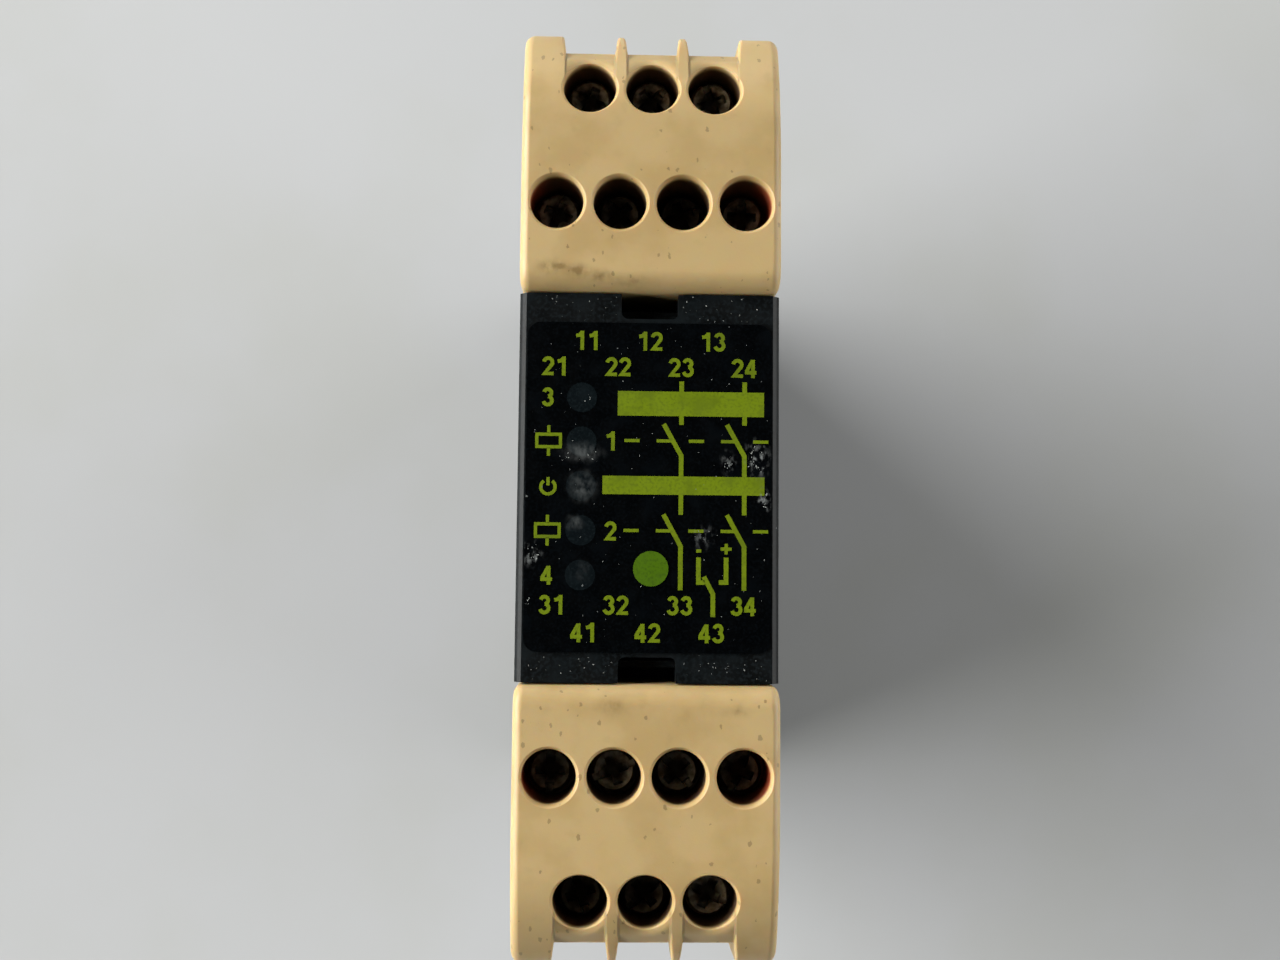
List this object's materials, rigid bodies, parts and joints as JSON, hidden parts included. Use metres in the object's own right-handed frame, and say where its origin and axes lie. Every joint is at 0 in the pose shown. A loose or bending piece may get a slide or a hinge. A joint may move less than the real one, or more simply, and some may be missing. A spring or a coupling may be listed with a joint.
{
  "type": "safety controller",
  "caption": "Narrow safety controller for a mounting rail: black housing, printed front with status lights, and cream plug-in screw terminal blocks at both ends.",
  "frame": {"origin": "centre of the flat rear face, on which the controller stands in the picture", "axes": "+Z out of the front towards the user, +Y up as installed on the cabinet wall, +X along the rail to the right"},
  "size_m": [0.0228, 0.084, 0.118],
  "materials": {
    "black_plastic": "moulded satin black",
    "label_film": "printed satin film",
    "green_sticker": "printed vinyl",
    "led_resin": "diffuse resin",
    "circuit_board": "solder mask",
    "relay_case": "moulded",
    "capacitor_can": "sleeved can",
    "chip_resin": "moulded epoxy",
    "latch_plastic": "moulded black",
    "spring_steel": "drawn wire",
    "header_plastic": "moulded black",
    "pin_brass": "tin plated",
    "cream_plastic": "moulded satin cream",
    "contact_brass": "tin plated",
    "screw_steel": "zinc plated",
    "clamp_steel": "zinc plated"
  },
  "bodies": {
    "housing": {"housing_tub": "black_plastic", "side_cover": "black_plastic", "front_plate": "black_plastic", "front_label": "label_film", "check_sticker": "green_sticker", "status_led_1": "led_resin", "status_led_2": "led_resin", "status_led_3": "led_resin", "status_led_4": "led_resin", "status_led_5": "led_resin", "led_board": "circuit_board", "main_board": "circuit_board", "relay_1": "relay_case", "relay_2": "relay_case", "supply_capacitor": "capacitor_can", "controller_chip_1": "chip_resin", "controller_chip_2": "chip_resin", "latch_spring": "spring_steel", "upper_header": "header_plastic", "upper_header_pins": "pin_brass", "upper_connector_board": "circuit_board", "lower_header": "header_plastic", "lower_header_pins": "pin_brass", "lower_connector_board": "circuit_board"},
    "latch": {"rail_latch": "latch_plastic"},
    "upper_plug": {"upper_block": "cream_plastic", "upper_contacts": "contact_brass"},
    "upper_screw_1": {"upper_screw_1": "screw_steel"},
    "upper_clamp_1": {"upper_clamp_1": "clamp_steel"},
    "upper_screw_2": {"upper_screw_2": "screw_steel"},
    "upper_clamp_2": {"upper_clamp_2": "clamp_steel"},
    "upper_screw_3": {"upper_screw_3": "screw_steel"},
    "upper_clamp_3": {"upper_clamp_3": "clamp_steel"},
    "upper_screw_4": {"upper_screw_4": "screw_steel"},
    "upper_clamp_4": {"upper_clamp_4": "clamp_steel"},
    "upper_screw_5": {"upper_screw_5": "screw_steel"},
    "upper_clamp_5": {"upper_clamp_5": "clamp_steel"},
    "upper_screw_6": {"upper_screw_6": "screw_steel"},
    "upper_clamp_6": {"upper_clamp_6": "clamp_steel"},
    "upper_screw_7": {"upper_screw_7": "screw_steel"},
    "upper_clamp_7": {"upper_clamp_7": "clamp_steel"},
    "lower_plug": {"lower_block": "cream_plastic", "lower_contacts": "contact_brass"},
    "lower_screw_1": {"lower_screw_1": "screw_steel"},
    "lower_clamp_1": {"lower_clamp_1": "clamp_steel"},
    "lower_screw_2": {"lower_screw_2": "screw_steel"},
    "lower_clamp_2": {"lower_clamp_2": "clamp_steel"},
    "lower_screw_3": {"lower_screw_3": "screw_steel"},
    "lower_clamp_3": {"lower_clamp_3": "clamp_steel"},
    "lower_screw_4": {"lower_screw_4": "screw_steel"},
    "lower_clamp_4": {"lower_clamp_4": "clamp_steel"},
    "lower_screw_5": {"lower_screw_5": "screw_steel"},
    "lower_clamp_5": {"lower_clamp_5": "clamp_steel"},
    "lower_screw_6": {"lower_screw_6": "screw_steel"},
    "lower_clamp_6": {"lower_clamp_6": "clamp_steel"},
    "lower_screw_7": {"lower_screw_7": "screw_steel"},
    "lower_clamp_7": {"lower_clamp_7": "clamp_steel"}
  },
  "joints": [
    {"name": "rail_latch_slide", "type": "slide", "parent": "housing", "child": "latch", "axis": [0, -1, 0], "range_m": [0, 0.0035], "stiffness_N_per_m": 800, "springref_m": -0.002, "deforming": ["latch_spring"]},
    {"name": "upper_block_pull", "type": "slide", "parent": "housing", "child": "upper_plug", "axis": [0, 0, 1], "range_m": [0, 0.03]},
    {"name": "upper_screw_1_turn", "type": "hinge", "parent": "upper_plug", "child": "upper_screw_1", "pos_m": [-0.00825, 0.02465, 0.114], "axis": [0, 0, -1], "range_deg": [0, 1872]},
    {"name": "upper_clamp_1_rise", "type": "slide", "parent": "upper_plug", "child": "upper_clamp_1", "axis": [0, 0, 1], "range_m": [0, 0.0026]},
    {"name": "upper_screw_2_turn", "type": "hinge", "parent": "upper_plug", "child": "upper_screw_2", "pos_m": [-0.00275, 0.02465, 0.114], "axis": [0, 0, -1], "range_deg": [0, 1872]},
    {"name": "upper_clamp_2_rise", "type": "slide", "parent": "upper_plug", "child": "upper_clamp_2", "axis": [0, 0, 1], "range_m": [0, 0.0026]},
    {"name": "upper_screw_3_turn", "type": "hinge", "parent": "upper_plug", "child": "upper_screw_3", "pos_m": [0.00275, 0.02465, 0.114], "axis": [0, 0, -1], "range_deg": [0, 1872]},
    {"name": "upper_clamp_3_rise", "type": "slide", "parent": "upper_plug", "child": "upper_clamp_3", "axis": [0, 0, 1], "range_m": [0, 0.0026]},
    {"name": "upper_screw_4_turn", "type": "hinge", "parent": "upper_plug", "child": "upper_screw_4", "pos_m": [0.00825, 0.02465, 0.114], "axis": [0, 0, -1], "range_deg": [0, 1872]},
    {"name": "upper_clamp_4_rise", "type": "slide", "parent": "upper_plug", "child": "upper_clamp_4", "axis": [0, 0, 1], "range_m": [0, 0.0026]},
    {"name": "upper_screw_5_turn", "type": "hinge", "parent": "upper_plug", "child": "upper_screw_5", "pos_m": [-0.0055, 0.03515, 0.114], "axis": [0, 0, -1], "range_deg": [0, 1872]},
    {"name": "upper_clamp_5_rise", "type": "slide", "parent": "upper_plug", "child": "upper_clamp_5", "axis": [0, 0, 1], "range_m": [0, 0.0026]},
    {"name": "upper_screw_6_turn", "type": "hinge", "parent": "upper_plug", "child": "upper_screw_6", "pos_m": [0, 0.03515, 0.114], "axis": [0, 0, -1], "range_deg": [0, 1872]},
    {"name": "upper_clamp_6_rise", "type": "slide", "parent": "upper_plug", "child": "upper_clamp_6", "axis": [0, 0, 1], "range_m": [0, 0.0026]},
    {"name": "upper_screw_7_turn", "type": "hinge", "parent": "upper_plug", "child": "upper_screw_7", "pos_m": [0.0055, 0.03515, 0.114], "axis": [0, 0, -1], "range_deg": [0, 1872]},
    {"name": "upper_clamp_7_rise", "type": "slide", "parent": "upper_plug", "child": "upper_clamp_7", "axis": [0, 0, 1], "range_m": [0, 0.0026]},
    {"name": "lower_block_pull", "type": "slide", "parent": "housing", "child": "lower_plug", "axis": [0, 0, 1], "range_m": [0, 0.03]},
    {"name": "lower_screw_1_turn", "type": "hinge", "parent": "lower_plug", "child": "lower_screw_1", "pos_m": [0.00825, -0.02465, 0.114], "axis": [0, 0, -1], "range_deg": [0, 1872]},
    {"name": "lower_clamp_1_rise", "type": "slide", "parent": "lower_plug", "child": "lower_clamp_1", "axis": [0, 0, 1], "range_m": [0, 0.0026]},
    {"name": "lower_screw_2_turn", "type": "hinge", "parent": "lower_plug", "child": "lower_screw_2", "pos_m": [0.00275, -0.02465, 0.114], "axis": [0, 0, -1], "range_deg": [0, 1872]},
    {"name": "lower_clamp_2_rise", "type": "slide", "parent": "lower_plug", "child": "lower_clamp_2", "axis": [0, 0, 1], "range_m": [0, 0.0026]},
    {"name": "lower_screw_3_turn", "type": "hinge", "parent": "lower_plug", "child": "lower_screw_3", "pos_m": [-0.00275, -0.02465, 0.114], "axis": [0, 0, -1], "range_deg": [0, 1872]},
    {"name": "lower_clamp_3_rise", "type": "slide", "parent": "lower_plug", "child": "lower_clamp_3", "axis": [0, 0, 1], "range_m": [0, 0.0026]},
    {"name": "lower_screw_4_turn", "type": "hinge", "parent": "lower_plug", "child": "lower_screw_4", "pos_m": [-0.00825, -0.02465, 0.114], "axis": [0, 0, -1], "range_deg": [0, 1872]},
    {"name": "lower_clamp_4_rise", "type": "slide", "parent": "lower_plug", "child": "lower_clamp_4", "axis": [0, 0, 1], "range_m": [0, 0.0026]},
    {"name": "lower_screw_5_turn", "type": "hinge", "parent": "lower_plug", "child": "lower_screw_5", "pos_m": [0.0055, -0.03515, 0.114], "axis": [0, 0, -1], "range_deg": [0, 1872]},
    {"name": "lower_clamp_5_rise", "type": "slide", "parent": "lower_plug", "child": "lower_clamp_5", "axis": [0, 0, 1], "range_m": [0, 0.0026]},
    {"name": "lower_screw_6_turn", "type": "hinge", "parent": "lower_plug", "child": "lower_screw_6", "pos_m": [0, -0.03515, 0.114], "axis": [0, 0, -1], "range_deg": [0, 1872]},
    {"name": "lower_clamp_6_rise", "type": "slide", "parent": "lower_plug", "child": "lower_clamp_6", "axis": [0, 0, 1], "range_m": [0, 0.0026]},
    {"name": "lower_screw_7_turn", "type": "hinge", "parent": "lower_plug", "child": "lower_screw_7", "pos_m": [-0.0055, -0.03515, 0.114], "axis": [0, 0, -1], "range_deg": [0, 1872]},
    {"name": "lower_clamp_7_rise", "type": "slide", "parent": "lower_plug", "child": "lower_clamp_7", "axis": [0, 0, 1], "range_m": [0, 0.0026]}
  ],
  "couplings": [
    {"joint": "upper_screw_1_turn", "follows": "upper_clamp_1_rise", "rad_per_m": 12566},
    {"joint": "upper_screw_2_turn", "follows": "upper_clamp_2_rise", "rad_per_m": 12566},
    {"joint": "upper_screw_3_turn", "follows": "upper_clamp_3_rise", "rad_per_m": 12566},
    {"joint": "upper_screw_4_turn", "follows": "upper_clamp_4_rise", "rad_per_m": 12566},
    {"joint": "upper_screw_5_turn", "follows": "upper_clamp_5_rise", "rad_per_m": 12566},
    {"joint": "upper_screw_6_turn", "follows": "upper_clamp_6_rise", "rad_per_m": 12566},
    {"joint": "upper_screw_7_turn", "follows": "upper_clamp_7_rise", "rad_per_m": 12566},
    {"joint": "lower_screw_1_turn", "follows": "lower_clamp_1_rise", "rad_per_m": 12566},
    {"joint": "lower_screw_2_turn", "follows": "lower_clamp_2_rise", "rad_per_m": 12566},
    {"joint": "lower_screw_3_turn", "follows": "lower_clamp_3_rise", "rad_per_m": 12566},
    {"joint": "lower_screw_4_turn", "follows": "lower_clamp_4_rise", "rad_per_m": 12566},
    {"joint": "lower_screw_5_turn", "follows": "lower_clamp_5_rise", "rad_per_m": 12566},
    {"joint": "lower_screw_6_turn", "follows": "lower_clamp_6_rise", "rad_per_m": 12566},
    {"joint": "lower_screw_7_turn", "follows": "lower_clamp_7_rise", "rad_per_m": 12566}
  ]
}
